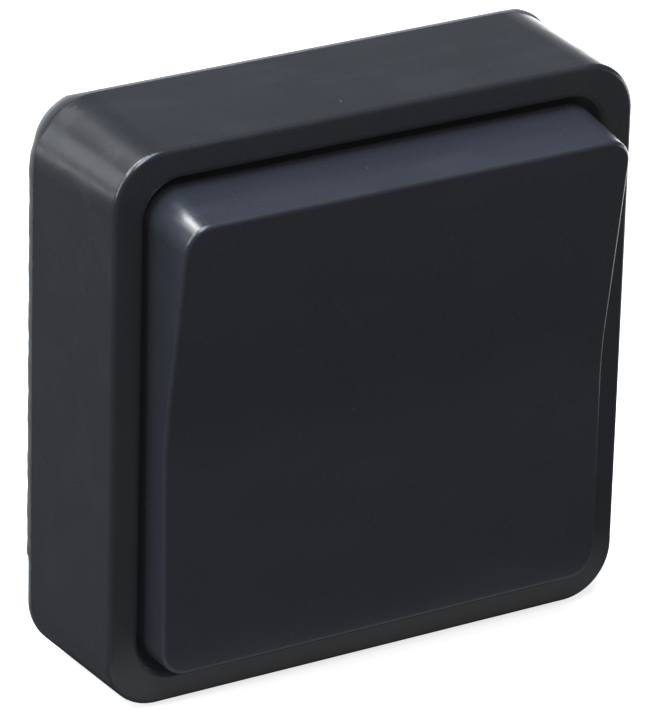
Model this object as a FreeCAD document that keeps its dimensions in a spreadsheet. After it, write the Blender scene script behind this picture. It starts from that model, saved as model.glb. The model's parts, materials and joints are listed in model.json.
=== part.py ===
"""Flush weatherproof rocker switch, in millimetres.

X is to the right seen from the front, Y goes into the wall and Z is up. The origin is the centre of the wall
plane, Y = 0. Sizes that end in _out are distances in front of that plane, which is towards -Y.
"""
import FreeCAD, Part
import math
import os

import Sketcher

Vector = FreeCAD.Vector
RIGHT = Vector(1, 0, 0)
INTO_WALL = Vector(0, 1, 0)
UP = Vector(0, 0, 1)
# how far a feature reaches into its neighbour to join it, and how far a cutting tool goes past a surface
BITE = 0.5
PAST = 1.0
ALMOST = 0.999

DRIVING_SIZES = {
    # housing
    "housing_flare": 0.75,
    "corner_radius": 8.9,
    "corner_draw": 1.5,
    "opening_radius": 5.5,
    "opening_extra": 0.3,
    "rim_out": 21.5,
    "rim_width": 4.55,
    "rim_round": 0.7,
    "rim_inner_round": 0.9,
    "outer_wall": 1.7,
    "collar_wall": 1.5,
    "rim_skin": 2.4,
    "deck_sink": 6.0,
    "deck_thick": 2.0,
    "wall_rib_thick": 1.0,
    "wall_rib_pitch": 20.0,
    "deck_rib_height": 2.5,
    "stop_gap": 0.15,
    "stop_inset": 13.2,
    "stop_width": 9.0,
    "stop_depth": 4.0,
    # rear gasket
    "gasket_thick": 1.2,
    "gasket_width": 4.0,
    "gasket_proud": 0.3,
    "lip_top_inset": 0.6,
    "lip_low_inset": 7.1,
    # pivot between the rocker and the housing
    "pivot_sink": 4.5,
    "pin_radius": 1.6,
    "pin_clearance": 0.05,
    "ear_radius": 3.9,
    "ear_thick": 2.5,
    "ear_inset": 9.2,
    "lug_thick": 2.0,
    "lug_gap": 0.35,
    "lug_radius": 3.2,
    "pin_past_ear": 0.3,
    # rocker
    "rocker_gap_side": 0.5,
    "rocker_gap_end": 0.9,
    "rocker_draft_side": 3.6,
    "rocker_draft_end": 6.4,
    "rocker_skirt": 1.5,
    "rocker_rise": 8.45,
    "rocker_dish": 4.7,
    "rocker_throw": 4.0,
    "valley_radius": 60.0,
    "rocker_corner_ease": 0.5,
    "rocker_wall": 2.0,
    "rocker_round": 0.6,
    "rib_thick": 1.2,
    "rib_height": 2.5,
    "rib_pitch": 11.0,
    "finger_sink": 1.5,
    "finger_thick": 2.0,
    "finger_width": 6.0,
    "finger_tip_radius": 1.5,
    # boot round the finger
    "boot_half_width": 11.0,
    "boot_half_height": 8.0,
    "boot_corner": 2.5,
    "boot_fit": 0.05,
    "boot_wall": 1.0,
    "boot_flange": 1.6,
    "boot_gap": 0.25,
    "boot_neck_wall": 1.2,
    "boot_neck_back": 0.3,
    # screws that hold the housing
    "screw_inset": 8.2,
    "screw_margin": 3.0,
    "screw_radius": 1.5,
    "screw_head_radius": 3.0,
    "screw_head_height": 2.0,
    "screw_hole_gap": 0.4,
    "screw_end_out": 1.0,
    "cross_half_length": 1.65,
    "cross_half_width": 0.4,
    "cross_depth": 1.2,
    "thread_gap": 0.05,
    "seal_thick": 1.2,
    "seal_sink": 0.9,
    "seal_radius": 3.3,
    "seal_fit": 0.1,
    "boss_radius": 4.0,
    "boss_gap": 0.3,
    "bush_radius": 3.0,
    "bush_collar": 0.8,
    "bush_out": 5.0,
    # support plate
    "plate_gap": 1.0,
    "plate_corner": 6.0,
    "plate_thick": 1.2,
    "slot_inset": 5.5,
    "slot_width": 4.2,
    "slot_length": 7.0,
    # mechanism base and cover
    "base_wall": 1.1,
    "base_corner": 5.0,
    "base_floor": 2.0,
    "base_gap": 0.3,
    "shoulder": 2.4,
    "shoulder_thick": 2.0,
    "cover_lip": 4.0,
    "cover_corner": 7.0,
    "cover_thick": 2.0,
    "leg_thick": 1.4,
    "leg_side_gap": 0.1,
    "leg_axle_gap": 0.2,
    "chamber_half_width": 5.0,
    "chamber_half_height": 9.0,
    "partition": 1.2,
    "window_gap": 0.8,
    "window_corner": 1.0,
    "cover_screw_inset": 5.5,
    "cover_screw_radius": 1.2,
    "cover_screw_length": 9.0,
    "cover_screw_gap": 0.15,
    "driver_slot_half": 0.3,
    "driver_slot_depth": 0.6,
    # lever, plunger and spring
    "lever_pivot_depth": 5.5,
    "lever_axle_radius": 1.5,
    "lever_half_width": 3.5,
    "lever_half_height": 3.1,
    "lever_tail": 5.5,
    "bearing_length": 1.6,
    "bearing_end_gap": 0.2,
    "fork_out": 5.0,
    "fork_gap": 0.1,
    "fork_depth": 3.8,
    "bore_radius": 1.85,
    "bore_depth": 9.5,
    "plunger_gap": 0.07,
    "plunger_reach": 7.0,
    "plunger_length": 5.0,
    "spring_wire": 0.3,
    "spring_radius": 1.3,
    "spring_turns": 4.0,
    "spring_end_gap": 0.1,
    # contacts and terminals
    "contact_gap": 0.3,
    "contact_swing": 4.0,
    "contact_thick": 0.8,
    "contact_half_width": 3.0,
    "contact_end_gap": 1.0,
    "tip_inset": 1.0,
    "tip_radius": 1.3,
    "tip_height": 0.8,
    "tip_air": 0.08,
    "knife_gap": 0.1,
    "knife_height": 2.3,
    "knife_half": 1.2,
    "knife_edge_half": 0.01,
    "groove_radius": 0.6,
    "groove_depth": 0.25,
    "strip_thick": 1.0,
    "strip_tail": 4.4,
    "strip_slot_gap": 0.1,
    "cage_wall": 0.8,
    "cage_side_gap": 0.1,
    "cage_rear_gap": 1.0,
    "cage_length": 3.7,
    "cage_gap": 0.3,
    "cage_tail_gap": 0.2,
    "wire_tail_gap": 0.1,
    "wire_screw_gap": 0.6,
    "pocket_room": 1.2,
    "wire_radius": 1.7,
    "terminal_screw_radius": 1.5,
    "terminal_head_radius": 2.4,
    "terminal_head_height": 1.7,
    "terminal_head_gap": 0.1,
    "terminal_way_gap": 0.3,
}


class Size:
    """A length or angle: its number now, and the sheet expression that gives it."""

    def __init__(self, number, text=None):
        self.number = number
        self.text = text or repr(float(number))

    def __add__(self, other):
        other = as_size(other)
        return Size(self.number + other.number, f"({self.text} + {other.text})")

    def __sub__(self, other):
        other = as_size(other)
        return Size(self.number - other.number, f"({self.text} - {other.text})")

    def __mul__(self, other):
        other = as_size(other)
        return Size(self.number * other.number, f"{self.text} * {other.text}")

    def __truediv__(self, other):
        other = as_size(other)
        return Size(self.number / other.number, f"{self.text} / ({other.text})")

    def __radd__(self, other):
        return as_size(other) + self

    def __rsub__(self, other):
        return as_size(other) - self

    def __rmul__(self, other):
        return as_size(other) * self

    def __neg__(self):
        return Size(-self.number, f"-1 * {self.text}")


def as_size(value):
    return value if isinstance(value, Size) else Size(value)


def tangent(angle):
    return Size(math.tan(math.radians(angle.number)), f"tan({angle.text})")


def sine(angle):
    return Size(math.sin(math.radians(angle.number)), f"sin({angle.text})")


def cosine(angle):
    return Size(math.cos(math.radians(angle.number)), f"cos({angle.text})")


def angle_of_sine(ratio):
    return Size(math.degrees(math.asin(ratio.number)), f"asin({ratio.text})")


def bind(item, prop, value):
    item.setExpression(prop, as_size(value).text)


def make_sheet(document):
    """Write each driving size into a cell, and give back the sizes as named values."""
    sheet = document.addObject("Spreadsheet::Sheet", "sizes")
    named = {}
    for row, (alias, number) in enumerate(DRIVING_SIZES.items(), start=1):
        sheet.set(f"A{row}", alias)
        sheet.set(f"B{row}", str(number))
        sheet.setAlias(f"B{row}", alias)
        named[alias] = Size(number, f"sizes.{alias}")
    document.recompute()
    return named


class Shared:
    """The driving sizes by name, and the sizes that more than one piece takes from them."""

    def __init__(self, sizes):
        self.__dict__.update(sizes)
        self.size_depths()
        self.size_widths()

    def size_depths(self):
        """Distances in front of the wall, and depths behind it, from the pivot to the terminals."""
        self.pivot_out = self.rim_out - self.pivot_sink
        self.deck_out = self.pivot_out - self.deck_sink
        self.deck_rear = self.deck_out - self.deck_thick
        self.skirt_out = self.pivot_out - self.rocker_skirt
        self.finger_out = self.fork_out - self.finger_sink
        finger_arm = self.pivot_out - self.finger_out
        lever_arm = self.lever_pivot_depth + self.finger_out
        self.lever_swing = angle_of_sine(finger_arm * sine(self.rocker_throw) / lever_arm)
        plunger_end = self.lever_pivot_depth + self.plunger_reach
        self.contact_pivot = plunger_end + self.contact_gap + self.contact_thick + self.knife_gap
        self.strip_depth = self.contact_pivot + self.knife_height
        self.strip_floor = self.strip_depth + self.strip_thick
        self.cage_front = self.strip_floor + self.cage_gap
        self.cage_rear = self.cage_front + self.cage_length
        self.base_depth = self.cage_rear + self.cage_rear_gap + self.base_floor

    def size_widths(self):
        """Distances from the middle, from the contacts outwards to the housing's edge."""
        self.contact_half_length = self.chamber_half_height - self.contact_end_gap
        self.tip_place = self.contact_half_length - self.tip_inset
        self.cage_half_width = self.contact_half_width + self.cage_side_gap + self.cage_wall
        self.chamber_end = self.chamber_half_height + self.partition
        self.cage_start = self.chamber_end + self.cage_gap
        self.tail_start = self.cage_start + self.cage_wall + self.cage_tail_gap
        self.tail_end = self.tail_start + self.strip_thick
        self.wire_place = self.tail_end + self.wire_radius + self.wire_tail_gap
        self.cage_inner_end = self.wire_place + self.wire_radius + self.wire_screw_gap
        self.cage_end = self.cage_inner_end + self.cage_wall
        self.pocket_end = self.cage_end + self.cage_gap + self.pocket_room
        self.base_half = self.pocket_end + self.base_wall
        self.cover_screw_place = self.base_half - self.cover_screw_inset
        self.cover_half = self.base_half + self.cover_lip
        self.screw_place = self.cover_half + self.screw_margin
        self.screw_hole = self.screw_radius + self.screw_hole_gap
        self.opening_half = self.screw_place + self.screw_inset
        self.opening_half_z = self.opening_half + self.opening_extra
        self.ear_place = self.opening_half - self.ear_inset
        self.lug_place = self.ear_place - self.ear_thick / 2 - self.lug_gap - self.lug_thick / 2
        self.pin_hole = self.pin_radius + self.pin_clearance
        self.rocker_half_z = self.opening_half_z - self.rocker_gap_end
        self.rocker_corner = self.opening_radius - self.rocker_corner_ease
        self.housing_half = self.opening_half + self.rim_width
        self.rear_half = self.housing_half + self.housing_flare
        self.plate_half = self.rear_half - self.gasket_width - self.plate_gap
        self.slot_place = self.plate_half - self.slot_inset


doc = FreeCAD.newDocument("weatherproof_switch")
S = Shared(make_sheet(doc))
NODES = []


def keep(item, label):
    """Name a finished sub-part and list it for writing."""
    item.Label = label
    NODES.append(item)
    return item


def origin_plane(body, role):
    return next(item for item in body.Origin.OriginFeatures if item.Role == role)


def new_body(name):
    return doc.addObject("PartDesign::Body", name + "_body")


def front_sketch(body, name, out):
    """A sketch parallel to the wall, at the given distance in front of it."""
    sketch = body.newObject("Sketcher::SketchObject", name)
    sketch.AttachmentSupport = [(origin_plane(body, "XZ_Plane"), "")]
    sketch.MapMode = "FlatFace"
    bind(sketch, "AttachmentOffset.Base.z", out)
    return sketch


def side_sketch(body, name, place=0):
    """A sketch across the object, whose own axes are Y and Z, at the given X."""
    sketch = body.newObject("Sketcher::SketchObject", name)
    sketch.AttachmentSupport = [(origin_plane(body, "YZ_Plane"), "")]
    sketch.MapMode = "FlatFace"
    bind(sketch, "AttachmentOffset.Base.z", place)
    return sketch


def constrain(sketch, kind, *place, value=None):
    """Add one constraint, bound to a size if it has one."""
    if value is None:
        sketch.addConstraint(Sketcher.Constraint(kind, *place))
        return
    value = as_size(value)
    index = sketch.addConstraint(Sketcher.Constraint(kind, *place, value.number))
    label = f"size{index}"
    sketch.renameConstraint(index, label)
    bind(sketch, "Constraints." + label, value)


def place_point(sketch, geometry, point, x, y):
    constrain(sketch, "DistanceX", -1, 1, geometry, point, value=x)
    constrain(sketch, "DistanceY", -1, 1, geometry, point, value=y)


def rounded_loop(sketch, low, high, radius):
    """A rectangle from the corner low to the corner high, with equal round corners."""
    x0, y0, x1, y1, r = (as_size(v).number for v in (*low, *high, radius))
    quarter = math.pi / 2
    corners = [(x1 - r, y0 + r), (x1 - r, y1 - r), (x0 + r, y1 - r), (x0 + r, y0 + r)]
    first = sketch.GeometryCount
    ends = [
        (Vector(x0 + r, y0, 0), Vector(x1 - r, y0, 0)),
        (Vector(x1, y0 + r, 0), Vector(x1, y1 - r, 0)),
        (Vector(x1 - r, y1, 0), Vector(x0 + r, y1, 0)),
        (Vector(x0, y1 - r, 0), Vector(x0, y0 + r, 0)),
    ]
    for index in range(4):
        sketch.addGeometry(Part.LineSegment(*ends[index]))
        circle = Part.Circle(Vector(*corners[index], 0), UP, r)
        start = (index - 1) * quarter
        sketch.addGeometry(Part.ArcOfCircle(circle, start, start + quarter))
    for index in range(4):
        line = first + 2 * index
        arc = line + 1
        following = first + (2 * index + 2) % 8
        constrain(sketch, "Tangent", line, 2, arc, 1)
        constrain(sketch, "Tangent", arc, 2, following, 1)
        constrain(sketch, "Vertical" if index % 2 else "Horizontal", line)
        if index:
            constrain(sketch, "Equal", first + 1, arc)
    constrain(sketch, "Radius", first + 1, value=radius)
    constrain(sketch, "DistanceY", -1, 1, first, 1, value=low[1])
    constrain(sketch, "DistanceX", -1, 1, first + 2, 1, value=high[0])
    constrain(sketch, "DistanceY", -1, 1, first + 4, 1, value=high[1])
    constrain(sketch, "DistanceX", -1, 1, first + 6, 1, value=low[0])


def centred_loop(sketch, half_width, half_height, radius):
    rounded_loop(sketch, (-as_size(half_width), -as_size(half_height)), (half_width, half_height), radius)


def corner_loop(sketch, points):
    """A closed loop of straight lines through points, each held by its own sizes."""
    first = sketch.GeometryCount
    count = len(points)
    spots = [Vector(as_size(x).number, as_size(y).number, 0) for x, y in points]
    for index in range(count):
        sketch.addGeometry(Part.LineSegment(spots[index], spots[(index + 1) % count]))
    for index in range(count):
        constrain(sketch, "Coincident", first + index, 2, first + (index + 1) % count, 1)
    for index, (x, y) in enumerate(points):
        place_point(sketch, first + index, 1, x, y)


def box_loop(sketch, low, high):
    corner_loop(sketch, [low, (high[0], low[1]), high, (low[0], high[1])])


def circle_loop(sketch, x, y, radius):
    index = sketch.GeometryCount
    centre = Vector(as_size(x).number, as_size(y).number, 0)
    sketch.addGeometry(Part.Circle(centre, UP, as_size(radius).number))
    constrain(sketch, "Radius", index, value=radius)
    place_point(sketch, index, 3, x, y)


def round_end_loop(sketch, root, tip, radius):
    """A tab along the sketch's first axis, from root to a full round end centred on tip."""
    r, root_x, tip_x = (as_size(value).number for value in (radius, root, tip))
    away = 1 if tip_x > root_x else -1
    first = sketch.GeometryCount
    middle_angle = 0 if away > 0 else math.pi
    circle = Part.Circle(Vector(tip_x, 0, 0), UP, r)
    sketch.addGeometry(Part.ArcOfCircle(circle, middle_angle - math.pi / 2, middle_angle + math.pi / 2))
    starts = [Vector(tip_x, away * r, 0), Vector(root_x, away * r, 0), Vector(root_x, -away * r, 0)]
    ends = [starts[1], starts[2], Vector(tip_x, -away * r, 0)]
    for start, end in zip(starts, ends):
        sketch.addGeometry(Part.LineSegment(start, end))
    constrain(sketch, "Tangent", first, 2, first + 1, 1)
    constrain(sketch, "Coincident", first + 1, 2, first + 2, 1)
    constrain(sketch, "Coincident", first + 2, 2, first + 3, 1)
    constrain(sketch, "Tangent", first + 3, 2, first, 1)
    constrain(sketch, "Vertical", first + 2)
    constrain(sketch, "Horizontal", first + 1)
    constrain(sketch, "Horizontal", first + 3)
    constrain(sketch, "Radius", first, value=radius)
    constrain(sketch, "DistanceX", -1, 1, first + 2, 1, value=root)
    constrain(sketch, "DistanceX", -1, 1, first, 3, value=tip)
    constrain(sketch, "PointOnObject", first, 3, -1)


def rounded_finger_loop(sketch, root, tip, half_width, radius):
    """A finger along the sketch's first axis, from root to the round end centred on tip."""
    r, half = as_size(radius).number, as_size(half_width).number
    root_x, tip_x = as_size(root).number, as_size(tip).number
    angle = math.asin(min(1.0, half / r))
    away = 1 if tip_x > root_x else -1
    neck_x = tip_x - away * r * math.cos(angle)
    first = sketch.GeometryCount
    sketch.addGeometry(Part.LineSegment(Vector(root_x, -half, 0), Vector(neck_x, -half, 0)))
    start = math.pi + angle if away > 0 else -angle
    sweep = 2 * math.pi - 2 * angle
    circle = Part.Circle(Vector(tip_x, 0, 0), UP, r)
    if away > 0:
        arc = Part.ArcOfCircle(circle, start, start + sweep)
        arc_from, arc_to = 1, 2
    else:
        arc = Part.ArcOfCircle(circle, angle, angle + sweep)
        arc_from, arc_to = 2, 1
    sketch.addGeometry(arc)
    sketch.addGeometry(Part.LineSegment(Vector(neck_x, half, 0), Vector(root_x, half, 0)))
    sketch.addGeometry(Part.LineSegment(Vector(root_x, half, 0), Vector(root_x, -half, 0)))
    constrain(sketch, "Coincident", first, 2, first + 1, arc_from)
    constrain(sketch, "Coincident", first + 1, arc_to, first + 2, 1)
    constrain(sketch, "Coincident", first + 2, 2, first + 3, 1)
    constrain(sketch, "Coincident", first + 3, 2, first, 1)
    constrain(sketch, "Horizontal", first)
    constrain(sketch, "Horizontal", first + 2)
    constrain(sketch, "Radius", first + 1, value=radius)
    place_point(sketch, first + 1, 3, tip, 0)
    place_point(sketch, first, 1, root, -as_size(half_width))
    place_point(sketch, first + 2, 2, root, half_width)


def feature(body, kind, name, sketch, length, reverse=False, symmetric=False, through=False):
    """A Pad or Pocket of a sketch, which must change the solid."""
    item = body.newObject("PartDesign::" + kind, name)
    item.Profile = sketch
    item.Reversed = reverse
    if symmetric:
        item.SideType = "Symmetric"
    if through:
        item.Type = "ThroughAll"
    else:
        bind(item, "Length", length)
    before = body_volume(body, item)
    doc.recompute()
    if before and abs(item.Shape.Volume - before) < 1e-3:
        raise RuntimeError(f"{name} changes nothing")
    return item


def body_volume(body, latest):
    """The volume of the feature before the latest one, or nothing if there is none."""
    solids = [item for item in body.Group if item is not latest and item.isDerivedFrom("PartDesign::Feature")]
    return solids[-1].Shape.Volume if solids and not solids[-1].Shape.isNull() else 0


def pad(body, name, sketch, length, **options):
    return feature(body, "Pad", name, sketch, length, **options)


def pocket(body, name, sketch, length=None, **options):
    return feature(body, "Pocket", name, sketch, length, through=length is None, **options)


def loft(body, name, first, last, kind="AdditiveLoft"):
    item = body.newObject("PartDesign::" + kind, name)
    item.Profile = first
    item.Sections = [last]
    item.Ruled = True
    doc.recompute()
    return item


def mirror(body, name, features, role="YZ_Plane"):
    item = body.newObject("PartDesign::Mirrored", name)
    item.Originals = features
    item.MirrorPlane = (origin_plane(body, role), [""])
    body.Tip = item
    doc.recompute()
    return item


def round_edges(body, name, chosen, radius):
    """Fillet the edges of the latest solid that the test chooses."""
    base = body.Tip
    edges = [f"Edge{i}" for i, edge in enumerate(base.Shape.Edges, start=1) if chosen(edge)]
    item = body.newObject("PartDesign::Fillet", name)
    item.Base = (base, edges)
    bind(item, "Radius", radius)
    doc.recompute()
    return item


def lies_at(edge, out, inside=None, outside=None):
    """Whether an edge lies in the plane at a distance in front of the wall, within limits of X and Z."""
    box = edge.BoundBox
    reach = max(abs(box.XMin), abs(box.XMax), abs(box.ZMin), abs(box.ZMax))
    flat = abs(box.YMin + out) < 1e-4 and abs(box.YMax + out) < 1e-4
    return flat and (inside is None or reach < inside) and (outside is None or reach > outside)


def tilt(item, angle, pivot_out):
    """Turn a sub-part about the X direction, on the axis at a distance in front of the wall."""
    item.Placement = FreeCAD.Placement(Vector(0, 0, 0), FreeCAD.Rotation(RIGHT, angle.number))
    bind(item, "Placement.Rotation.Angle", angle)
    bind(item, "Placement.Base.y", -pivot_out * (1 - cosine(angle)))
    bind(item, "Placement.Base.z", pivot_out * sine(angle))
    doc.recompute()


def block(name, low, high):
    """A box from one corner to the other, bound to its sizes."""
    item = doc.addObject("Part::Box", name)
    for side, axis, start, end in zip(("Length", "Width", "Height"), "xyz", low, high):
        bind(item, side, as_size(end) - start)
        bind(item, "Placement.Base." + axis, start)
    return item


def rod(name, start, direction, radius, length):
    """A cylinder from a point along X, Y or Z."""
    item = doc.addObject("Part::Cylinder", name)
    item.Placement = FreeCAD.Placement(Vector(0, 0, 0), FreeCAD.Rotation(UP, direction))
    bind(item, "Radius", radius)
    bind(item, "Height", length)
    for axis, value in zip("xyz", start):
        bind(item, "Placement.Base." + axis, value)
    return item


def fuse(name, items):
    item = doc.addObject("Part::MultiFuse", name)
    item.Shapes = items
    return item


def cut(name, base, tool):
    item = doc.addObject("Part::Cut", name)
    item.Base = base
    item.Tool = tool
    return item


def group(name, items):
    """Several like solids that share one sub-part."""
    item = doc.addObject("Part::Compound", name)
    item.Links = items
    return item


def corner_signs():
    return [(x, z) for x in (-1, 1) for z in (-1, 1)]


def housing():
    """The moulded bezel: outer wall, rim, rocker pocket, deck, pivot ears and screw bosses."""
    body = new_body("housing")
    rear = front_sketch(body, "housing_rear_outline", S.gasket_thick)
    centred_loop(rear, S.rear_half, S.rear_half, S.corner_radius)
    front = front_sketch(body, "housing_front_outline", S.rim_out)
    centred_loop(front, S.housing_half, S.housing_half, S.corner_radius - S.corner_draw)
    loft(body, "housing_block", rear, front)

    mouth = front_sketch(body, "rocker_pocket_outline", S.rim_out)
    centred_loop(mouth, S.opening_half, S.opening_half_z, S.opening_radius)
    pocket(body, "rocker_pocket", mouth, S.rim_out - S.deck_out)

    cavity = front_sketch(body, "rear_cavity_outline", S.gasket_thick)
    inner_half = S.housing_half - S.outer_wall
    centred_loop(cavity, inner_half, inner_half, S.corner_radius - S.outer_wall)
    pocket(body, "rear_cavity", cavity, S.deck_rear - S.gasket_thick, reverse=True)

    core = front_sketch(body, "rim_core_outline", S.deck_rear)
    collar_half, collar_half_z = S.opening_half + S.collar_wall, S.opening_half_z + S.collar_wall
    centred_loop(core, inner_half, inner_half, S.corner_radius - S.outer_wall)
    centred_loop(core, collar_half, collar_half_z, S.opening_radius + S.collar_wall)
    pocket(body, "rim_core", core, S.rim_out - S.rim_skin - S.deck_rear, reverse=True)

    bosses = front_sketch(body, "boss_outline", S.deck_rear)
    for x, z in corner_signs():
        circle_loop(bosses, x * S.screw_place, z * S.screw_place, S.boss_radius)
    pad(body, "screw_bosses", bosses, S.deck_rear - S.bush_out - S.boss_gap, reverse=True)

    ear = side_sketch(body, "ear_outline", S.ear_place)
    round_end_loop(ear, -S.deck_out + BITE, -S.pivot_out, S.ear_radius)
    circle_loop(ear, -S.pivot_out, 0, S.pin_hole)
    right_ear = pad(body, "right_ear", ear, S.ear_thick, symmetric=True)
    mirror(body, "pivot_ears", [right_ear])

    holes = front_sketch(body, "screw_hole_outline", S.deck_out)
    for x, z in corner_signs():
        circle_loop(holes, x * S.screw_place, z * S.screw_place, S.screw_hole)
    pocket(body, "screw_holes", holes)
    sinks = front_sketch(body, "seal_seat_outline", S.deck_out)
    for x, z in corner_signs():
        circle_loop(sinks, x * S.screw_place, z * S.screw_place, S.seal_radius + S.seal_fit)
    pocket(body, "seal_seats", sinks, S.seal_sink)
    aperture = front_sketch(body, "boot_aperture_outline", S.deck_out)
    centred_loop(aperture, S.boot_half_width, S.boot_half_height, S.boot_corner)
    pocket(body, "boot_aperture", aperture, S.deck_thick)
    housing_ribs(body, inner_half, collar_half, collar_half_z)
    rocker_stops(body)

    middle = S.housing_half.number - S.rim_width.number / 2
    out = S.rim_out.number
    round_edges(body, "rim_round_outer", lambda edge: lies_at(edge, out, outside=middle), S.rim_round)
    round_edges(body, "rim_round_inner", lambda edge: lies_at(edge, out, inside=middle), S.rim_inner_round)
    return keep(body, "housing")


def housing_ribs(body, outer, inner_x, inner_z):
    """Ribs across the hollow rim on all four sides, and ribs behind the deck from boss to boss."""
    across = front_sketch(body, "rim_rib_outline", S.deck_rear)
    half = S.wall_rib_thick / 2
    start_x, start_z, end = inner_x - BITE, inner_z - BITE, outer + BITE
    for step in (-1, 0, 1):
        low, high = step * S.wall_rib_pitch - half, step * S.wall_rib_pitch + half
        box_loop(across, (start_x, low), (end, high))
        box_loop(across, (-end, low), (-start_x, high))
        box_loop(across, (low, start_z), (high, end))
        box_loop(across, (low, -end), (high, -start_z))
    pad(body, "rim_ribs", across, S.rim_out - S.rim_skin - S.deck_rear + BITE)

    behind = front_sketch(body, "deck_rib_outline", S.deck_rear)
    reach = S.screw_place - S.boss_radius + BITE
    low, high = S.screw_place - half, S.screw_place + half
    box_loop(behind, (-reach, low), (reach, high))
    box_loop(behind, (-reach, -high), (reach, -low))
    box_loop(behind, (low, -reach), (high, reach))
    box_loop(behind, (-high, -reach), (-low, reach))
    pad(body, "deck_ribs", behind, S.deck_rib_height, reverse=True)


def rocker_stops(body):
    """Four blocks on the deck, just short of where the pressed end of the rocker's skirt comes down."""
    stops = front_sketch(body, "stop_outline", S.deck_out - BITE)
    half = S.stop_width / 2
    start, end = S.opening_half_z - S.stop_depth, S.opening_half_z + BITE
    for x in (-1, 1):
        middle = x * (S.opening_half - S.stop_inset)
        low, high = middle - half, middle + half
        box_loop(stops, (low, start), (high, end))
        box_loop(stops, (low, -end), (high, -start))
    dip = S.rocker_skirt * cosine(S.rocker_throw) + S.rocker_half_z * sine(S.rocker_throw)
    pad(body, "rocker_stops", stops, S.pivot_out - dip - S.stop_gap - S.deck_out + BITE)


def rear_gasket():
    """The soft ring between the housing and the wall, a little proud along both sides."""
    body = new_body("rear_gasket")
    ring = front_sketch(body, "gasket_outline", 0)
    centred_loop(ring, S.rear_half, S.rear_half, S.corner_radius)
    inner = S.rear_half - S.gasket_width
    centred_loop(ring, inner, inner, S.corner_radius - S.gasket_width)
    pad(body, "gasket_ring", ring, S.gasket_thick)
    lip = front_sketch(body, "gasket_lip_outline", 0)
    straight_half = S.rear_half - S.corner_radius
    low = (S.rear_half - S.gasket_width / 2, S.lip_low_inset - straight_half)
    high = (S.rear_half + S.gasket_proud, straight_half - S.lip_top_inset)
    rounded_loop(lip, low, high, S.gasket_proud / 2)
    right_lip = pad(body, "gasket_right_lip", lip, S.gasket_thick)
    mirror(body, "gasket_lips", [right_lip])
    return keep(body, "rear_gasket")


def rocker():
    """The key, drawn level and then turned by its throw, so that its bottom is pressed."""
    body = new_body("rocker")
    blank_out = S.pivot_out + S.rocker_rise + S.opening_half * tangent(S.rocker_dish)
    blank_rise = blank_out - S.skirt_out
    base_half_x = S.opening_half - S.rocker_gap_side
    base = front_sketch(body, "rocker_base_outline", S.skirt_out)
    centred_loop(base, base_half_x, S.rocker_half_z, S.rocker_corner)
    top = front_sketch(body, "rocker_top_outline", blank_out)
    top_half_x = base_half_x - blank_rise * tangent(S.rocker_draft_side)
    end_draw = blank_rise * tangent(S.rocker_draft_end)
    centred_loop(top, top_half_x, S.rocker_half_z - end_draw, S.rocker_corner - end_draw)
    loft(body, "rocker_blank", base, top)

    face = side_sketch(body, "rocker_face_outline")
    valley_loop(face, S.pivot_out + S.rocker_rise, blank_out, S.opening_half)
    pocket(body, "rocker_face", face, 3 * S.opening_half, symmetric=True)
    level = S.pivot_out.number + S.rocker_rise.number / 2
    on_border = lambda edge: is_face_border(body.Tip.Shape, edge, level)
    round_edges(body, "rocker_face_round", on_border, S.rocker_round)

    cavity = side_sketch(body, "rocker_cavity_outline")
    roof_out = S.pivot_out + S.rocker_rise - S.rocker_wall
    mouth_z = S.rocker_half_z - S.rocker_wall
    draw = tangent(S.rocker_draft_end)
    corner_z = mouth_z - (roof_out + mouth_z * tangent(S.rocker_dish) - S.skirt_out) * draw
    corner_out = roof_out + corner_z * tangent(S.rocker_dish)
    corner_loop(
        cavity,
        [
            (-S.skirt_out + PAST, -mouth_z - PAST * draw),
            (-S.skirt_out + PAST, mouth_z + PAST * draw),
            (-corner_out, corner_z),
            (-roof_out, 0),
            (-corner_out, -corner_z),
        ],
    )
    cavity_half_x = top_half_x - S.rocker_wall
    pocket(body, "rocker_cavity", cavity, 2 * cavity_half_x, symmetric=True)

    for number, step in enumerate((-1.5, -0.5, 0.5, 1.5)):
        rib = side_sketch(body, f"rib_outline_{number}", step * S.rib_pitch)
        foot_out = roof_out - S.rib_height
        corner_loop(
            rib,
            [
                (-foot_out, -corner_z),
                (-foot_out, corner_z),
                (-corner_out - BITE, corner_z),
                (-roof_out - BITE, 0),
                (-corner_out - BITE, -corner_z),
            ],
        )
        pad(body, f"rib_{number}", rib, S.rib_thick, symmetric=True)

    lug = side_sketch(body, "lug_outline", S.lug_place)
    round_end_loop(lug, -roof_out - BITE, -S.pivot_out, S.lug_radius)
    right_lug = pad(body, "right_lug", lug, S.lug_thick, symmetric=True)
    pin = side_sketch(body, "pin_outline", S.lug_place)
    circle_loop(pin, -S.pivot_out, 0, S.pin_radius)
    right_pin = pad(body, "right_pin", pin, S.lug_thick / 2 + S.lug_gap + S.ear_thick + S.pin_past_ear)
    mirror(body, "lugs_and_pins", [right_lug, right_pin])

    finger = side_sketch(body, "finger_outline")
    rounded_finger_loop(finger, -roof_out - BITE, -S.finger_out, S.finger_thick / 2, S.finger_tip_radius)
    pad(body, "driving_finger", finger, S.finger_width, symmetric=True)

    tilt(body, S.rocker_throw, S.pivot_out)
    return keep(body, "rocker")


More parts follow.
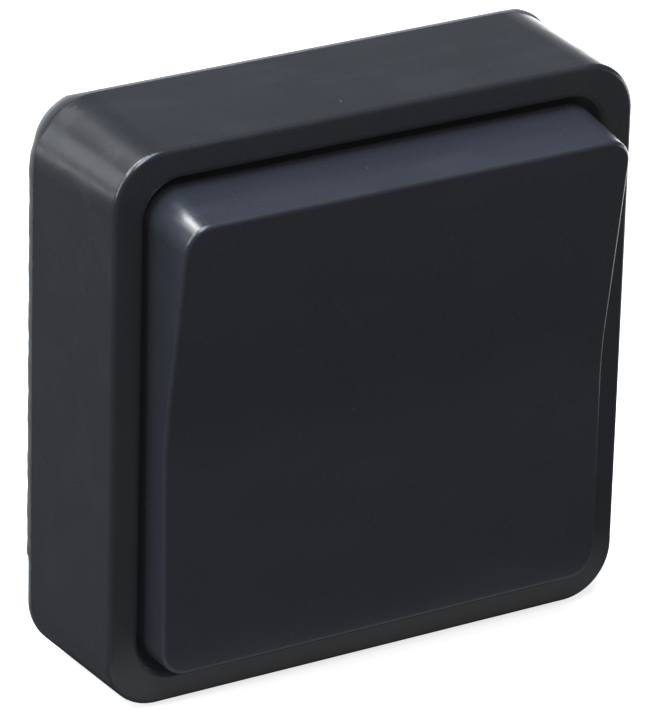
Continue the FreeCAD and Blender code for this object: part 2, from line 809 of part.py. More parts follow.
def valley_loop(sketch, valley_out, top_out, reach):
    """All that lies in front of the dished face: two slopes that meet in a soft round valley."""
    dish, radius = S.rocker_dish, S.valley_radius
    half = radius * sine(dish)
    slope = tangent(dish)
    arc_end_out = valley_out + half * slope
    centre = -(valley_out + radius / cosine(dish))
    end_out = valley_out + reach * slope
    far_out = top_out + 10 * PAST
    circle = Part.Circle(Vector(centre.number, 0, 0), UP, radius.number)
    angle = math.radians(dish.number)
    sketch.addGeometry(Part.ArcOfCircle(circle, -angle, angle))
    path = [(arc_end_out, half), (end_out, reach), (far_out, reach)]
    spots = [Vector(-out.number, z.number, 0) for out, z in path]
    spots += [Vector(-out.number, -z.number, 0) for out, z in reversed(path)]
    for start, end in zip(spots, spots[1:]):
        sketch.addGeometry(Part.LineSegment(start, end))
    constrain(sketch, "Tangent", 0, 2, 1, 1)
    for index in (1, 2, 3, 4):
        constrain(sketch, "Coincident", index, 2, index + 1, 1)
    constrain(sketch, "Tangent", 5, 2, 0, 1)
    constrain(sketch, "Radius", 0, value=radius)
    place_point(sketch, 0, 3, centre, 0)
    place_point(sketch, 2, 1, -end_out, reach)
    place_point(sketch, 3, 1, -far_out, reach)
    place_point(sketch, 4, 1, -far_out, -reach)
    place_point(sketch, 5, 1, -end_out, -reach)


def is_face_border(shape, edge, level):
    """Whether an edge is where the rocker's face meets a wall, and not where two parts of the face meet."""
    if edge.BoundBox.YMax > -level:
        return False
    owners = [face for face in shape.Faces if any(edge.isSame(other) for other in face.Edges)]
    looks_out = [abs(face.normalAt(*middle_of(face)).y) > 0.9 for face in owners]
    return sorted(looks_out) == [False, True]


def middle_of(face):
    low_u, high_u, low_v, high_v = face.ParameterRange
    return (low_u + high_u) / 2, (low_v + high_v) / 2


def stem_boot():
    """The rubber boot: a grommet in the deck's aperture, with a cone up to the finger at the pivot axis."""
    body = new_body("stem_boot")
    width, height = S.boot_half_width - S.boot_fit, S.boot_half_height - S.boot_fit
    corner = S.boot_corner - S.boot_fit
    inner_corner = corner - S.boot_wall
    neck_out = S.pivot_out - S.boot_neck_back
    flange_out = S.deck_out + S.boot_wall
    rear_out = S.deck_rear - S.boot_wall
    inner_width, inner_height = width - S.boot_wall, height - S.boot_wall
    neck_width = S.finger_width / 2 + S.boot_gap
    neck_height = S.finger_thick / 2 + S.boot_gap
    waist = front_sketch(body, "boot_waist_outline", rear_out)
    centred_loop(waist, width, height, corner)
    pad(body, "boot_waist", waist, flange_out - rear_out)
    for name, start in (("front", S.deck_out), ("rear", rear_out)):
        flange = front_sketch(body, f"boot_{name}_flange_outline", start)
        centred_loop(flange, width + S.boot_flange, height + S.boot_flange, corner + S.boot_flange)
        pad(body, f"boot_{name}_flange", flange, S.boot_wall)
    foot = front_sketch(body, "boot_cone_foot", flange_out)
    centred_loop(foot, width, height, corner)
    neck = front_sketch(body, "boot_cone_neck", neck_out)
    neck_corner = S.boot_gap + S.boot_neck_wall
    centred_loop(neck, neck_width + S.boot_neck_wall, neck_height + S.boot_neck_wall, neck_corner)
    loft(body, "boot_cone", foot, neck)
    bore = front_sketch(body, "boot_bore_outline", flange_out)
    centred_loop(bore, inner_width, inner_height, inner_corner)
    pocket(body, "boot_bore", bore, flange_out - rear_out)
    inner_foot = front_sketch(body, "boot_inner_foot", flange_out)
    centred_loop(inner_foot, inner_width, inner_height, inner_corner)
    inner_neck = front_sketch(body, "boot_inner_neck", neck_out)
    centred_loop(inner_neck, neck_width, neck_height, S.boot_gap)
    loft(body, "boot_inner_cone", inner_foot, inner_neck, kind="SubtractiveLoft")
    return keep(body, "stem_boot")


def housing_screws():
    """Four pan-head screws with a cross recess, through the deck and into the bushes."""
    head_start = S.deck_out - S.seal_sink + S.seal_thick
    screws = []
    for number, (x, z) in enumerate(corner_signs()):
        start = (x * S.screw_place, -head_start, z * S.screw_place)
        head = rod(f"screw_head_{number}", start, -INTO_WALL, S.screw_head_radius, S.screw_head_height)
        shank_length = head_start - S.screw_end_out
        shank = rod(f"screw_shank_{number}", start, INTO_WALL, S.screw_radius, shank_length)
        blank = fuse(f"screw_blank_{number}", [head, shank])
        head_top = (start[0], -head_start - S.screw_head_height, start[2])
        recess = cross_recess(f"screw_cross_{number}", head_top)
        screws.append(cut(f"housing_screw_{number}", blank, recess))
    return keep(group("housing_screw_group", screws), "housing_screws")


def cross_recess(name, head_top):
    """The tool that cuts a cross into a screw head, whose top's centre is given."""
    x, y, z = head_top
    bars = []
    for number, (half_x, half_z) in enumerate(
        ((S.cross_half_length, S.cross_half_width), (S.cross_half_width, S.cross_half_length))
    ):
        low = (x - half_x, y - PAST, z - half_z)
        high = (x + half_x, y + S.cross_depth, z + half_z)
        bars.append(block(f"{name}_{number}", low, high))
    return fuse(name, bars)


def ring_group(name, label, rings):
    """Four tubes, one at each housing screw; a ring is (start in front of the wall, radius, length)."""
    tubes = []
    for number, (x, z) in enumerate(corner_signs()):
        centre_x, centre_z = x * S.screw_place, z * S.screw_place
        steps = [
            rod(f"{name}_step_{number}_{step}", (centre_x, -start, centre_z), -INTO_WALL, radius, length)
            for step, (start, radius, length) in enumerate(rings["steps"])
        ]
        solid = fuse(f"{name}_solid_{number}", steps) if len(steps) > 1 else steps[0]
        start, radius, length = rings["bore"]
        bore = rod(f"{name}_bore_{number}", (centre_x, -start, centre_z), -INTO_WALL, radius, length)
        tubes.append(cut(f"{name}_{number}", solid, bore))
    return keep(group(f"{name}_group", tubes), label)


def screw_seals():
    start = S.deck_out - S.seal_sink
    return ring_group(
        "screw_seal",
        "screw_seals",
        {
            "steps": [(start, S.seal_radius, S.seal_thick)],
            "bore": (start - PAST, S.screw_hole, S.seal_thick + 2 * PAST),
        },
    )


def threaded_bushes():
    """Bushes pressed into the plate, each with a collar on the plate's front."""
    return ring_group(
        "bush",
        "threaded_bushes",
        {
            "steps": [
                (as_size(0), S.bush_radius, S.plate_thick),
                (S.plate_thick, S.bush_radius + S.bush_collar, S.bush_out - S.plate_thick),
            ],
            "bore": (as_size(-PAST), S.screw_radius + S.thread_gap, S.bush_out + 2 * PAST),
        },
    )


def support_plate():
    """The steel plate that is screwed to the wall box, with a slot at each side."""
    body = new_body("support_plate")
    outline = front_sketch(body, "plate_outline", 0)
    centred_loop(outline, S.plate_half, S.plate_half, S.plate_corner)
    window = S.base_half + S.base_gap
    centred_loop(outline, window, window, S.base_corner + S.base_gap)
    for x, z in corner_signs():
        circle_loop(outline, x * S.screw_place, z * S.screw_place, S.bush_radius)
    pad(body, "plate_sheet", outline, S.plate_thick)
    half_length, half_width = S.slot_length / 2, S.slot_width / 2
    for name, x, z in (("right", 1, 0), ("left", -1, 0), ("top", 0, 1), ("low", 0, -1)):
        slot = front_sketch(body, f"{name}_slot_outline", 0)
        along_x, along_z = (half_length, half_width) if x else (half_width, half_length)
        slot_loop(slot, x * S.slot_place, z * S.slot_place, along_x, along_z)
        pocket(body, f"{name}_slot", slot, S.plate_thick, reverse=True)
    return keep(body, "support_plate")


def slot_loop(sketch, x, z, half_x, half_z):
    """A slot with round ends; their radius is a hair less than half its width, for the short lines."""
    ends_in_x = half_x.number > half_z.number
    radius = (half_z if ends_in_x else half_x) * ALMOST
    rounded_loop(sketch, (x - half_x, z - half_z), (x + half_x, z + half_z), radius)


def mechanism_base():
    """The insert: one block with a lever chamber, three terminal pockets and their wire and screw holes."""
    body = new_body("mechanism_base")
    front_out = S.plate_thick
    outline = front_sketch(body, "base_outline", -S.base_depth)
    centred_loop(outline, S.base_half, S.base_half, S.base_corner)
    pad(body, "base_block", outline, S.base_depth + front_out)
    shoulder = front_sketch(body, "shoulder_outline", -S.shoulder_thick)
    shoulder_half = S.base_half + S.shoulder
    centred_loop(shoulder, shoulder_half, shoulder_half, S.base_corner + S.shoulder)
    pad(body, "base_shoulder", shoulder, S.shoulder_thick)

    pocket_depth = S.base_depth - S.base_floor + front_out
    chamber = front_sketch(body, "chamber_outline", front_out)
    wide, high = S.chamber_half_width, S.chamber_half_height
    box_loop(chamber, (-wide, -high), (wide, high))
    pocket(body, "lever_chamber", chamber, S.strip_floor + front_out)
    pockets = front_sketch(body, "terminal_pocket_outline", front_out)
    side = S.cage_half_width + S.cage_gap
    for low, high in terminal_boxes(S.chamber_end, S.pocket_end, side):
        box_loop(pockets, low, high)
    pocket(body, "terminal_pockets", pockets, pocket_depth)
    channels = front_sketch(body, "strip_channel_outline", front_out)
    side = S.contact_half_width + S.strip_slot_gap
    for low, high in terminal_boxes(S.chamber_half_height - BITE, S.chamber_end + BITE, side)[:2]:
        box_loop(channels, low, high)
    box_loop(channels, (S.chamber_half_width - BITE, -side), (S.chamber_end + BITE, side))
    pocket(body, "strip_channels", channels, S.strip_floor + front_out)

    bearing = front_sketch(body, "bearing_slot_outline", front_out)
    axle_gap = S.lever_axle_radius + S.pin_clearance
    reach = S.chamber_half_width + S.bearing_length
    box_loop(bearing, (-reach, -axle_gap), (reach, axle_gap))
    pocket(body, "bearing_slots", bearing, S.lever_pivot_depth + front_out)
    seat = side_sketch(body, "bearing_seat_outline")
    circle_loop(seat, S.lever_pivot_depth, 0, axle_gap)
    pocket(body, "bearing_seats", seat, 2 * reach, symmetric=True)

    wires = front_sketch(body, "wire_hole_outline", -S.base_depth)
    for x, z in terminal_directions():
        circle_loop(wires, x * S.wire_place, z * S.wire_place, S.wire_radius)
    pocket(body, "wire_holes", wires, S.base_floor, reverse=True)
    screw_holes = front_sketch(body, "cover_screw_hole_outline", front_out)
    thread = S.cover_screw_radius + S.thread_gap
    for x, z in corner_signs():
        circle_loop(screw_holes, x * S.cover_screw_place, z * S.cover_screw_place, thread)
    pocket(body, "cover_screw_holes", screw_holes, S.cover_screw_length + PAST)
    return body


def terminal_directions():
    """Up, down and right: the sides that the three terminals are on."""
    return [(0, 1), (0, -1), (1, 0)]


def terminal_boxes(start, end, side):
    """A rectangle for each terminal, from start to end away from the centre and side wide each way."""
    return [((-side, start), (side, end)), ((-side, -end), (side, -start)), ((start, -side), (end, side))]


def finish_base(body):
    """Cut the ways to the terminal screws through the insert's sides."""
    cage_middle = (S.cage_front + S.cage_rear) / 2
    length = S.base_half + PAST - S.cage_end
    radius = S.terminal_head_radius + S.terminal_way_gap
    drills = []
    for number, (x, z) in enumerate(terminal_directions()):
        start = (x * S.cage_end, cage_middle, z * S.cage_end)
        drills.append(rod(f"screw_way_{number}", start, Vector(x, 0, z), radius, length))
    drilled = cut("mechanism_base_drilled", body, fuse("screw_ways", drills))
    return keep(drilled, "mechanism_base")


def mechanism_cover():
    """The front plate, with the lever's window and two legs that hold the lever's axle down."""
    body = new_body("mechanism_cover")
    outline = front_sketch(body, "cover_outline", S.plate_thick)
    centred_loop(outline, S.cover_half, S.cover_half, S.cover_corner)
    pad(body, "cover_sheet", outline, S.cover_thick)
    leg = front_sketch(body, "cover_leg_outline", S.plate_thick)
    inner = S.chamber_half_width + S.leg_side_gap
    leg_half = S.lever_axle_radius - S.leg_side_gap
    box_loop(leg, (inner, -leg_half), (inner + S.leg_thick, leg_half))
    box_loop(leg, (-inner - S.leg_thick, -leg_half), (-inner, leg_half))
    leg_length = S.plate_thick + S.lever_pivot_depth - S.lever_axle_radius - S.leg_axle_gap
    pad(body, "cover_legs", leg, leg_length, reverse=True)
    window = front_sketch(body, "cover_window_outline", S.plate_thick)
    swing = (S.fork_out + S.lever_pivot_depth) * sine(S.lever_swing)
    window_half_x = S.lever_half_width + S.window_gap
    window_half_z = S.lever_half_height + swing + S.window_gap
    centred_loop(window, window_half_x, window_half_z, S.window_corner)
    pocket(body, "cover_window", window, S.cover_thick, reverse=True)
    holes = front_sketch(body, "cover_hole_outline", S.plate_thick)
    hole_radius = S.cover_screw_radius + S.cover_screw_gap
    for x, z in corner_signs():
        circle_loop(holes, x * S.cover_screw_place, z * S.cover_screw_place, hole_radius)
    pocket(body, "cover_holes", holes, S.cover_thick, reverse=True)
    return keep(body, "mechanism_cover")


def cover_screws():
    """Four slotted screws, through the cover into the base."""
    out = S.plate_thick + S.cover_thick
    radius = S.cover_screw_radius
    screws = []
    for number, (x, z) in enumerate(corner_signs()):
        centre_x, centre_z = x * S.cover_screw_place, z * S.cover_screw_place
        start = (centre_x, -out, centre_z)
        head = rod(f"cover_head_{number}", start, -INTO_WALL, 2 * radius, radius)
        shank = rod(f"cover_shank_{number}", start, INTO_WALL, radius, S.cover_thick + S.cover_screw_length)
        blank = fuse(f"cover_blank_{number}", [head, shank])
        top_y = -out - radius
        slot = block(
            f"cover_slot_{number}",
            (centre_x - 3 * radius, top_y - PAST, centre_z - S.driver_slot_half),
            (centre_x + 3 * radius, top_y + S.driver_slot_depth, centre_z + S.driver_slot_half),
        )
        screws.append(cut(f"cover_screw_{number}", blank, slot))
    return keep(group("cover_screw_group", screws), "cover_screws")


def switch_lever():
    """The see-saw: a fork in front for the finger, an axle, and a sprung bore in its tail."""
    body = new_body("switch_lever")
    pivot_y = S.lever_pivot_depth
    profile = side_sketch(body, "lever_outline")
    box_loop(profile, (-S.fork_out, -S.lever_half_height), (pivot_y + S.lever_tail, S.lever_half_height))
    pad(body, "lever_block", profile, 2 * S.lever_half_width, symmetric=True)
    fork = side_sketch(body, "fork_slot_outline")
    slot_half = S.finger_tip_radius + S.fork_gap
    box_loop(fork, (-S.fork_out - PAST, -slot_half), (-S.fork_out + S.fork_depth, slot_half))
    pocket(body, "fork_slot", fork, 4 * S.lever_half_width, symmetric=True)
    axle = side_sketch(body, "axle_outline")
    circle_loop(axle, pivot_y, 0, S.lever_axle_radius)
    axle_half = S.chamber_half_width + S.bearing_length - S.bearing_end_gap
    pad(body, "axle", axle, 2 * axle_half, symmetric=True)
    bore = front_sketch(body, "plunger_bore_outline", -pivot_y - S.lever_tail)
    circle_loop(bore, 0, 0, S.bore_radius)
    pocket(body, "plunger_bore", bore, S.bore_depth, reverse=True)
    tilt(body, -S.lever_swing, -S.lever_pivot_depth)
    return keep(body, "switch_lever")


def plunger():
    """The round-nosed pin in the lever's tail."""
    radius = S.bore_radius - S.plunger_gap
    nose = S.lever_pivot_depth + S.plunger_reach - radius
    stem = rod("plunger_stem", (0, nose, 0), -INTO_WALL, radius, S.plunger_length - radius)
    ball = doc.addObject("Part::Sphere", "plunger_nose")
    bind(ball, "Radius", radius)
    bind(ball, "Placement.Base.y", nose)
    pin = fuse("plunger_pin", [stem, ball])
    tilt(pin, -S.lever_swing, -S.lever_pivot_depth)
    return keep(pin, "plunger")


def plunger_spring():
    """The coil between the bore's end and the plunger."""
    bore_end = S.lever_pivot_depth + S.lever_tail - S.bore_depth
    plunger_start = S.lever_pivot_depth + S.plunger_reach - S.plunger_length
    wire, radius = S.spring_wire.number, S.spring_radius.number
    start = (bore_end + S.spring_end_gap + S.spring_wire).number
    length = (plunger_start - S.spring_end_gap - S.spring_wire).number - start
    helix = Part.makeHelix(length / S.spring_turns.number, length, radius)
    section = Part.Wire(Part.makeCircle(wire, Vector(radius, 0, 0), INTO_WALL))
    coil = Part.Wire(helix).makePipeShell([section], True, True)
    item = doc.addObject("Part::Feature", "plunger_coil")
    item.Shape = coil
    along = FreeCAD.Placement(Vector(0, start, 0), FreeCAD.Rotation(UP, INTO_WALL))
    pivot = Vector(0, S.lever_pivot_depth.number, 0)
    swing = FreeCAD.Placement(Vector(0, 0, 0), FreeCAD.Rotation(RIGHT, -S.lever_swing.number), pivot)
    item.Placement = swing * along
    return keep(item, "plunger_spring")


def moving_contact():
    """The brass see-saw, drawn level with its tips, and then turned to its closed side."""
    rear = S.contact_pivot - S.knife_gap
    front = rear - S.contact_thick
    half = S.contact_half_length
    wide = S.contact_half_width
    plate = block("contact_plate", (-wide, front, -half), (wide, rear, half))
    groove_y = rear + S.groove_radius - S.groove_depth
    groove = rod("contact_groove", (-wide - PAST, groove_y, 0), RIGHT, S.groove_radius, 2 * (wide + PAST))
    see_saw = cut("contact_see_saw", plate, groove)
    tilt(see_saw, S.contact_swing, -S.contact_pivot)
    keep(see_saw, "moving_contact")
    tips = [
        rod(f"moving_tip_{z + 1}", (0, rear, z * S.tip_place), INTO_WALL, S.tip_radius, S.tip_height)
        for z in (-1, 1)
    ]
    pair = group("moving_tip_group", tips)
    tilt(pair, S.contact_swing, -S.contact_pivot)
    return keep(pair, "moving_contact_tips")


def fixed_tips():
    """The fixed silver tips, which stand just clear of the moving ones where those close."""
    tip_end = S.contact_pivot - S.knife_gap + S.tip_height
    closed = tip_end + (S.tip_place + S.tip_radius) * sine(S.contact_swing) + S.tip_air
    height = S.strip_depth - closed
    tips = [
        rod(f"fixed_tip_{z + 1}", (0, closed, z * S.tip_place), INTO_WALL, S.tip_radius, height)
        for z in (-1, 1)
    ]
    return keep(group("fixed_tip_group", tips), "fixed_contact_tips")


def strip_blocks(name, start, x, z):
    """A contact strip that runs out from start to the terminal on the side (x, z), and turns to the rear."""
    wide = S.contact_half_width
    tail_depth = S.strip_floor + S.strip_tail
    pieces = []
    for part, low_u, high_u, low_y, high_y in (
        ("foot", start, S.tail_end, S.strip_depth, S.strip_floor),
        ("tail", S.tail_start, S.tail_end, S.strip_floor, tail_depth),
    ):
        if x:
            corners = (low_u, low_y, -wide), (high_u, high_y, wide)
        elif z > 0:
            corners = (-wide, low_y, low_u), (wide, high_y, high_u)
        else:
            corners = (-wide, low_y, -high_u), (wide, high_y, -low_u)
        pieces.append(block(f"{name}_{part}", *corners))
    return pieces


def contact_strips():
    """Two strips with a fixed contact, and the common one with the knife edge."""
    contact_start = S.tip_place - S.tip_radius - BITE
    for name, z in (("upper", 1), ("lower", -1)):
        keep(fuse(f"{name}_strip_fuse", strip_blocks(name, contact_start, 0, z)), f"{name}_strip")
    pieces = strip_blocks("common", -S.contact_half_width, 1, 0)
    wedge = doc.addObject("Part::Wedge", "knife_edge")
    for prop, value in (
        ("Xmin", -S.contact_half_width),
        ("Xmax", S.contact_half_width),
        ("X2min", -S.contact_half_width),
        ("X2max", S.contact_half_width),
        ("Ymin", 0),
        ("Ymax", S.strip_depth - S.contact_pivot),
        ("Zmin", -S.knife_half),
        ("Zmax", S.knife_half),
        ("Z2min", -S.knife_edge_half),
        ("Z2max", S.knife_edge_half),
    ):
        bind(wedge, prop, value)
    wedge.Placement = FreeCAD.Placement(Vector(0, 0, 0), FreeCAD.Rotation(RIGHT, 180))
    bind(wedge, "Placement.Base.y", S.strip_depth)
    return keep(fuse("common_strip_fuse", pieces + [wedge]), "common_strip")


def turned(item, x, z):
    """Turn a piece that was drawn for the upper terminal to the side (x, z)."""
    angle = {(0, 1): 0, (0, -1): 180, (1, 0): 90}[(x, z)]
    item.Placement = FreeCAD.Placement(Vector(0, 0, 0), FreeCAD.Rotation(INTO_WALL, angle))
    return item


def terminals():
    """The cages and their screws, drawn for the upper terminal and turned to each side."""
    low_y, high_y = S.cage_front, S.cage_rear
    middle = (low_y + high_y) / 2
    wide = S.cage_half_width
    inner = wide - S.cage_wall
    thread = S.terminal_screw_radius + S.thread_gap
    head_start = S.cage_end + S.terminal_head_gap
    head_end = head_start + S.terminal_head_height
    tip = S.cage_inner_end - BITE
    reach = 2 * S.terminal_head_radius
    cages, screws = [], []
    for number, (x, z) in enumerate(terminal_directions()):
        shell = block(f"cage_shell_{number}", (-wide, low_y, S.cage_start), (wide, high_y, S.cage_end))
        room_low = (-inner, low_y - PAST, S.cage_start + S.cage_wall)
        room = block(f"cage_room_{number}", room_low, (inner, high_y + PAST, S.cage_inner_end))
        way_start = (0, middle, S.cage_inner_end - PAST)
        way = rod(f"cage_hole_{number}", way_start, UP, thread, S.cage_wall + 2 * PAST)
        cage = cut(f"cage_{number}", shell, fuse(f"cage_void_{number}", [room, way]))
        cages.append(turned(cage, x, z))
        shank_start = (0, middle, tip)
        shank_length = head_start - tip
        shank = rod(f"terminal_shank_{number}", shank_start, UP, S.terminal_screw_radius, shank_length)
        head_place = (0, middle, head_start)
        head = rod(f"terminal_head_{number}", head_place, UP, S.terminal_head_radius, S.terminal_head_height)
        blank = fuse(f"terminal_blank_{number}", [shank, head])
        slot_low = (-reach, middle - S.driver_slot_half, head_end - S.driver_slot_depth)
        slot_high = (reach, middle + S.driver_slot_half, head_end + PAST)
        slot = block(f"terminal_slot_{number}", slot_low, slot_high)
        screws.append(turned(cut(f"terminal_screw_{number}", blank, slot), x, z))
    keep(group("terminal_clamp_group", cages), "terminal_clamps")
    return keep(group("terminal_screw_group", screws), "terminal_screws")


def check_document():
    """Stop if any object failed to build or any sub-part is empty or not valid."""
    for item in doc.Objects:
        if {"Invalid", "Error"} & set(item.State):
            raise RuntimeError(f"{item.Name} failed: {item.State}")
    for item in NODES:
        if item.Shape.isNull() or not item.Shape.isValid() or not item.Shape.Solids:
            raise RuntimeError(f"{item.Label} has no valid solid")


def write_parts():
    os.makedirs("parts", exist_ok=True)
    for item in NODES:
        item.Shape.exportStep(f"parts/{item.Label}.step")
        box = item.Shape.BoundBox
        size = " x ".join(f"{length:.2f}" for length in (box.XLength, box.YLength, box.ZLength))
        print(f"{item.Label:22s} {len(item.Shape.Solids)} solids, {size} mm, {item.Shape.Volume:.1f} mm3")


housing()
rear_gasket()
rocker()
stem_boot()
housing_screws()
screw_seals()
support_plate()
threaded_bushes()
finish_base(mechanism_base())
mechanism_cover()
cover_screws()
switch_lever()
plunger()
plunger_spring()
moving_contact()
fixed_tips()
contact_strips()
terminals()
doc.recompute()
check_document()
write_parts()
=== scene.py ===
"""The looks of the weatherproof switch: finishes, soft seals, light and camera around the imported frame."""
import json
import math

import bpy
import numpy as np
from mathutils import Matrix, Vector


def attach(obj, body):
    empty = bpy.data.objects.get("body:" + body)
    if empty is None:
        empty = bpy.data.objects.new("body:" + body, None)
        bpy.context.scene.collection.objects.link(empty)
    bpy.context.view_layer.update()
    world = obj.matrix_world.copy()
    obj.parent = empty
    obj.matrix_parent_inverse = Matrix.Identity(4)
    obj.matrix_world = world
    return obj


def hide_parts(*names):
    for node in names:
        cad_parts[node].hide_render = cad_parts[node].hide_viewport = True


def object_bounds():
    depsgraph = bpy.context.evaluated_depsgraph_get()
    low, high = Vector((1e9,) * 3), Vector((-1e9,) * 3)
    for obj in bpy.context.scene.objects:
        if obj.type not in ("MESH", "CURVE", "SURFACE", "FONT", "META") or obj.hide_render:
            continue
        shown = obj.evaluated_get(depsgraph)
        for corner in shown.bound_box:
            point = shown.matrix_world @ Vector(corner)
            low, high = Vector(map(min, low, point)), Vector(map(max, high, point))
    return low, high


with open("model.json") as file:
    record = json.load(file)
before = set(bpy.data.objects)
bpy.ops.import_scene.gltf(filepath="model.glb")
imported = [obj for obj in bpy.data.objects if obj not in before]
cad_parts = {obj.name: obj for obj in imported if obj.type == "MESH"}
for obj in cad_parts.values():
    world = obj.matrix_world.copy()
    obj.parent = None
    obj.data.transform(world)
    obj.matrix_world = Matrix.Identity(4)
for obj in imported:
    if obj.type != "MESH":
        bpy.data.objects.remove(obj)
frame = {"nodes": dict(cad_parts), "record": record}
CAD_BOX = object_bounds()
NODES = frame["nodes"]
MM = 0.001

# the photograph's height in pixels, and the camera that was fitted to it, in metres and radians
PHOTO_HEIGHT = 710
FOCAL_PIXELS = 6122.0
CAMERA_TURN = math.radians(-31.56)
CAMERA_RISE = math.radians(24.29)
CAMERA_ROLL = math.radians(1.60)
CAMERA_DISTANCE = 0.8312
CAMERA_SLIDE = (0.00475, -0.00384)
CAMERA_NEAREST = 0.05
SENSOR = 36.0

# the lamps: where each stands, seen from the object, its distance and size in metres, its power and its tint
LAMPS = {
    "key_softbox": dict(direction=(-0.20, -0.58, 0.79), distance=0.95, size=(0.17, 0.17), watts=2.2,
                        colour=(1.0, 0.97, 0.94)),
    "top_softbox": dict(direction=(-0.14, -0.07, 0.95), distance=0.95, size=(0.70, 0.56), watts=9.8,
                        colour=(0.64, 0.78, 1.0)),
    "streak_softbox": dict(direction=(-0.24, 0.50, 0.83), distance=1.0, size=(0.24, 0.28), watts=3.2),
    "haze_softbox": dict(direction=(-0.47, 0.47, 0.75), distance=1.0, size=(0.40, 0.30), watts=2.0),
    "rear_softbox": dict(direction=(-0.57, 0.74, 0.30), distance=1.2, size=(0.36, 0.44), watts=0.85,
                         colour=(0.94, 0.97, 1.0)),
    "left_softbox": dict(direction=(-0.93, 0.0, 0.36), distance=1.0, size=(0.60, 0.50), watts=4.0,
                         colour=(0.76, 0.88, 1.0)),
    "corner_strip": dict(direction=(-0.68, 0.03, 0.73), distance=1.0, size=(0.80, 0.12), watts=3.0),
}

# the studio that reflections see, and the white that the camera sees behind the object
ROOM = (0.045, 0.05, 0.06)
HORIZON = (1.0, 1.02, 1.05)
BACKGROUND = 0.991

# the floor, which lies at the object's lowest point
FLOOR_LEVEL = CAD_BOX[0][2]
FLOOR_HALF = 3.0

# how far each effect takes moulded plastic towards its worn colour
SPECKLE_SHARE = 0.14
EDGE_SHARE = 0.35
SMEAR_SHARE = 0.05

# the colour of dust
DUST_ON_PLASTIC = (0.38, 0.38, 0.37)
DUST_ON_RUBBER = (0.45, 0.44, 0.42)

# a trace of light of its own, for the haze that keeps the photograph's gaps from being black
# painted glow: this emission lights the whole shell and rocker a little, standing in for fill light in their
# shade
SHELL_PAINTED_GLOW = (0.0048, 0.0050, 0.0055)
KEY_PAINTED_GLOW = (0.0025, 0.0024, 0.0022)

# each finish by its slot's name, with grain depths in millimetres
MOULDED = {
    "anthracite_shell": dict(colour=(0.0185, 0.0190, 0.0200), worn=(0.07, 0.075, 0.08), roughness=0.27,
                             grain_depth=0.003, lift=SHELL_PAINTED_GLOW, specular=0.8),
    "anthracite_key": dict(colour=(0.0320, 0.0335, 0.0410), worn=(0.075, 0.08, 0.095), roughness=0.27,
                           grain_depth=0.002, lift=KEY_PAINTED_GLOW, specular=0.8),
    "insert_plastic": dict(colour=(0.55, 0.55, 0.53), worn=(0.62, 0.62, 0.60), roughness=0.45,
                           grain_depth=0.008, dust_share=0.02),
    "cover_plastic": dict(colour=(0.68, 0.68, 0.65), worn=(0.74, 0.74, 0.72), roughness=0.42,
                          grain_depth=0.008, dust_share=0.02),
    "lever_plastic": dict(colour=(0.66, 0.62, 0.50), worn=(0.74, 0.70, 0.6), roughness=0.4,
                          grain_depth=0.006, dust_share=0.02),
}
RUBBERS = {
    "grey_seal": dict(colour=(0.148, 0.143, 0.134), roughness=0.75),
    "black_rubber": dict(colour=(0.022, 0.022, 0.023), roughness=0.6),
}
METALS = {
    "screw_steel": dict(colour=(0.58, 0.58, 0.57), tint=(0.62, 0.60, 0.52), roughness=0.32),
    "plated_steel": dict(colour=(0.46, 0.48, 0.51), tint=(0.52, 0.50, 0.47), roughness=0.38, stretch=60.0),
    "bush_brass": dict(colour=(0.80, 0.62, 0.30), tint=(0.72, 0.52, 0.24), roughness=0.3),
    "spring_steel": dict(colour=(0.50, 0.50, 0.50), tint=(0.46, 0.45, 0.43), roughness=0.28),
    "contact_brass": dict(colour=(0.80, 0.58, 0.26), tint=(0.74, 0.50, 0.22), roughness=0.28, stretch=60.0),
    "contact_silver": dict(colour=(0.88, 0.87, 0.85), tint=(0.80, 0.79, 0.76), roughness=0.22),
}


# light and camera


def view_axes():
    """Right, up and back of the camera: turned about Z, tipped up, then rolled about its line of sight."""
    turn, rise, roll = CAMERA_TURN, CAMERA_RISE, CAMERA_ROLL
    back = Vector((math.sin(turn) * math.cos(rise), -math.cos(turn) * math.cos(rise), math.sin(rise)))
    level = Vector((math.cos(turn), math.sin(turn), 0.0))
    steep = back.cross(level)
    right = math.cos(roll) * level + math.sin(roll) * steep
    up = math.cos(roll) * steep - math.sin(roll) * level
    return right, up, back


def place_camera():
    """The photograph's camera, slid a little along its own right and up."""
    right, up, back = view_axes()
    data = bpy.data.cameras.new("photo_camera")
    data.sensor_fit = "VERTICAL"
    data.sensor_height = SENSOR
    data.lens = FOCAL_PIXELS * SENSOR / PHOTO_HEIGHT
    data.clip_start = CAMERA_NEAREST
    camera = bpy.data.objects.new("photo_camera", data)
    bpy.context.scene.collection.objects.link(camera)
    place = CAMERA_DISTANCE * back + CAMERA_SLIDE[0] * right + CAMERA_SLIDE[1] * up
    turned = Matrix((right, up, back)).transposed().to_4x4()
    camera.matrix_world = Matrix.Translation(place) @ turned
    bpy.context.scene.camera = camera


def softbox(name, direction, distance, size, watts, colour=(1.0, 1.0, 1.0)):
    """A rectangular lamp that faces the object from a direction."""
    data = bpy.data.lights.new(name, "AREA")
    data.shape = "RECTANGLE"
    data.size, data.size_y = size
    data.energy = watts
    data.color = colour
    lamp = bpy.data.objects.new(name, data)
    bpy.context.scene.collection.objects.link(lamp)
    place = Vector(direction).normalized() * distance
    lamp.location = place
    lamp.rotation_euler = (-place).to_track_quat("-Z", "Y").to_euler()


def put(tree, kind, sockets=None, **settings):
    """Add a node. Each named socket gets a constant, or a link from another node's output."""
    node = tree.nodes.new("ShaderNode" + kind)
    for name, value in settings.items():
        setattr(node, name, value)
    for name, value in (sockets or {}).items():
        socket = node.inputs[name]
        if isinstance(value, bpy.types.NodeSocket):
            tree.links.new(value, socket)
        else:
            socket.default_value = value
    return node


